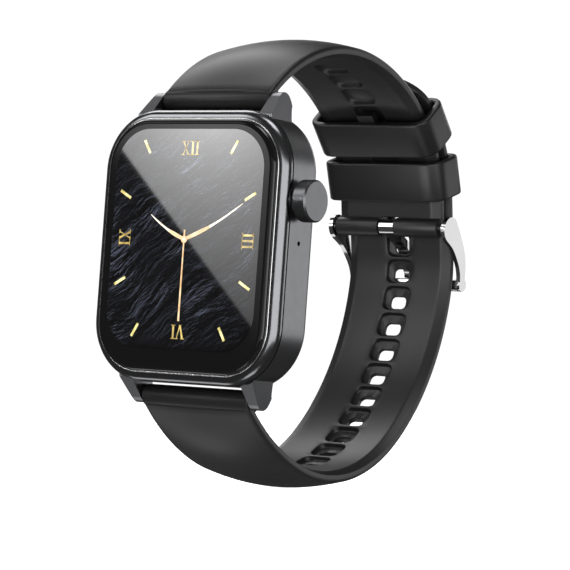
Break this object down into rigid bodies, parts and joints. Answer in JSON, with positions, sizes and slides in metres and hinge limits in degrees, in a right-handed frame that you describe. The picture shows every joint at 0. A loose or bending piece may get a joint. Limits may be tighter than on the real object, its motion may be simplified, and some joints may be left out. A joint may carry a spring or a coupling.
{
  "type": "smartwatch",
  "caption": "Rectangular touch-screen watch with a turning crown, closed on a pin-buckle rubber band with two keeper loops.",
  "frame": {"origin": "centre of the sensor face on the back of the case", "axes": "+X the crown side, +Y out of the back of the case towards the wrist, +Z the 12 o'clock side; the display looks along -Y"},
  "size_m": [0.0417, 0.0715, 0.0782],
  "materials": {
    "case_metal": "anodised satin gunmetal",
    "bezel_metal": "polished dark metallic coat",
    "black_seal": "matte",
    "cover_glass": "glossy, black printed border",
    "display": "glossy",
    "flex_film": "amber film",
    "inner_plastic": "matte",
    "battery_wrap": "satin foil",
    "circuit_board": "solder mask",
    "chip_plastic": "matte",
    "tin_plate": "satin",
    "mesh_metal": "woven",
    "plain_steel": "ground",
    "rear_plastic": "satin",
    "screw_steel": "blackened",
    "sensor_glass": "polished dark window",
    "led_resin": "clear resin",
    "gold_contact": "plated",
    "crown_metal": "anodised satin gunmetal",
    "strap_rubber": "satin silicone",
    "keeper_rubber": "satin silicone",
    "buckle_metal": "polished"
  },
  "bodies": {
    "case": {"mid_frame": "case_metal", "front_bezel": "bezel_metal", "glass_gasket": "black_seal", "cover_glass": "cover_glass", "display_panel": "display", "display_flex": "flex_film", "inner_chassis": "inner_plastic", "battery": "battery_wrap", "main_board": "circuit_board", "board_chips": "chip_plastic", "shield_can": "tin_plate", "speaker": "inner_plastic", "speaker_mesh": "mesh_metal", "microphone": "tin_plate", "mic_mesh": "mesh_metal", "motor_case": "tin_plate", "rear_cover": "rear_plastic", "rear_gasket": "black_seal", "rear_screws": "screw_steel", "sensor_window": "sensor_glass", "sensor_board": "circuit_board", "sensor_leds": "led_resin", "charging_contacts": "gold_contact", "charging_magnets": "plain_steel", "crown_tube": "case_metal", "crown_spring": "plain_steel", "crown_switch": "chip_plastic"},
    "motor_rotor": {"motor_shaft": "plain_steel", "motor_weight": "plain_steel"},
    "switch_plunger": {"switch_plunger": "inner_plastic"},
    "crown_carriage": {"crown_clip": "plain_steel"},
    "crown": {"crown": "crown_metal", "crown_seal": "black_seal"},
    "band": {"upper_strap": "strap_rubber", "lower_strap": "strap_rubber", "fixed_keeper": "keeper_rubber", "upper_bar_barrel": "plain_steel", "upper_bar_spring": "plain_steel", "lower_bar_barrel": "plain_steel", "lower_bar_spring": "plain_steel", "lower_bar_tips": "plain_steel", "buckle_bar_barrel": "buckle_metal", "buckle_bar_spring": "plain_steel"},
    "upper_tip_left": {"upper_bar_tip_left": "plain_steel"},
    "upper_tip_right": {"upper_bar_tip_right": "plain_steel"},
    "buckle_tip_left": {"buckle_bar_tip_left": "buckle_metal"},
    "buckle_tip_right": {"buckle_bar_tip_right": "buckle_metal"},
    "free_keeper": {"free_keeper": "keeper_rubber"},
    "buckle": {"buckle_frame": "buckle_metal"},
    "tongue": {"buckle_tongue": "buckle_metal"}
  },
  "joints": [
    {"name": "crown_press", "type": "slide", "parent": "case", "child": "crown_carriage", "axis": [-1, 0, 0], "range_m": [0, 0.0005], "stiffness_N_per_m": 1500, "springref_m": -0.0004, "deforming": ["crown_spring"]},
    {"name": "crown_turn", "type": "hinge", "parent": "crown_carriage", "child": "crown", "pos_m": [0.0185, -0.0066, 0.0082], "axis": [1, 0, 0], "continuous": true},
    {"name": "switch_press", "type": "slide", "parent": "case", "child": "switch_plunger", "axis": [-1, 0, 0], "range_m": [0, 0.0005]},
    {"name": "motor_spin", "type": "hinge", "parent": "case", "child": "motor_rotor", "pos_m": [-0.003, -0.0054, -0.0166], "axis": [1, 0, 0], "continuous": true},
    {"name": "band_swing", "type": "hinge", "parent": "case", "child": "band", "pos_m": [0, -0.004, 0.0251], "axis": [1, 0, 0], "range_deg": [0, 45], "deforming": ["lower_bar_tips"]},
    {"name": "upper_tip_left_press", "type": "slide", "parent": "band", "child": "upper_tip_left", "axis": [1, 0, 0], "range_m": [0, 0.0012], "stiffness_N_per_m": 800, "springref_m": -0.001, "deforming": ["upper_bar_spring"]},
    {"name": "upper_tip_right_press", "type": "slide", "parent": "band", "child": "upper_tip_right", "axis": [-1, 0, 0], "range_m": [0, 0.0012], "stiffness_N_per_m": 800, "springref_m": -0.001, "deforming": ["upper_bar_spring"]},
    {"name": "buckle_tip_left_press", "type": "slide", "parent": "band", "child": "buckle_tip_left", "axis": [1, 0, 0], "range_m": [0, 0.0016], "stiffness_N_per_m": 800, "springref_m": -0.001, "deforming": ["buckle_bar_spring"]},
    {"name": "buckle_tip_right_press", "type": "slide", "parent": "band", "child": "buckle_tip_right", "axis": [-1, 0, 0], "range_m": [0, 0.0016], "stiffness_N_per_m": 800, "springref_m": -0.001, "deforming": ["buckle_bar_spring"]},
    {"name": "keeper_slide", "type": "hinge", "parent": "band", "child": "free_keeper", "pos_m": [0, 0.02637, 0.00947], "axis": [1, 0, 0], "range_deg": [0, 10]},
    {"name": "buckle_lift", "type": "hinge", "parent": "band", "child": "buckle", "pos_m": [0, 0.05067, 0.00882], "axis": [1, 0, 0], "range_deg": [0, 6]},
    {"name": "tongue_lift", "type": "hinge", "parent": "band", "child": "tongue", "pos_m": [0, 0.05067, 0.00882], "axis": [1, 0, 0], "range_deg": [0, 6]}
  ],
  "couplings": [
    {"joint": "switch_press", "follows": "crown_press", "ratio": 1},
    {"joint": "tongue_lift", "follows": "buckle_lift", "ratio": 1}
  ]
}
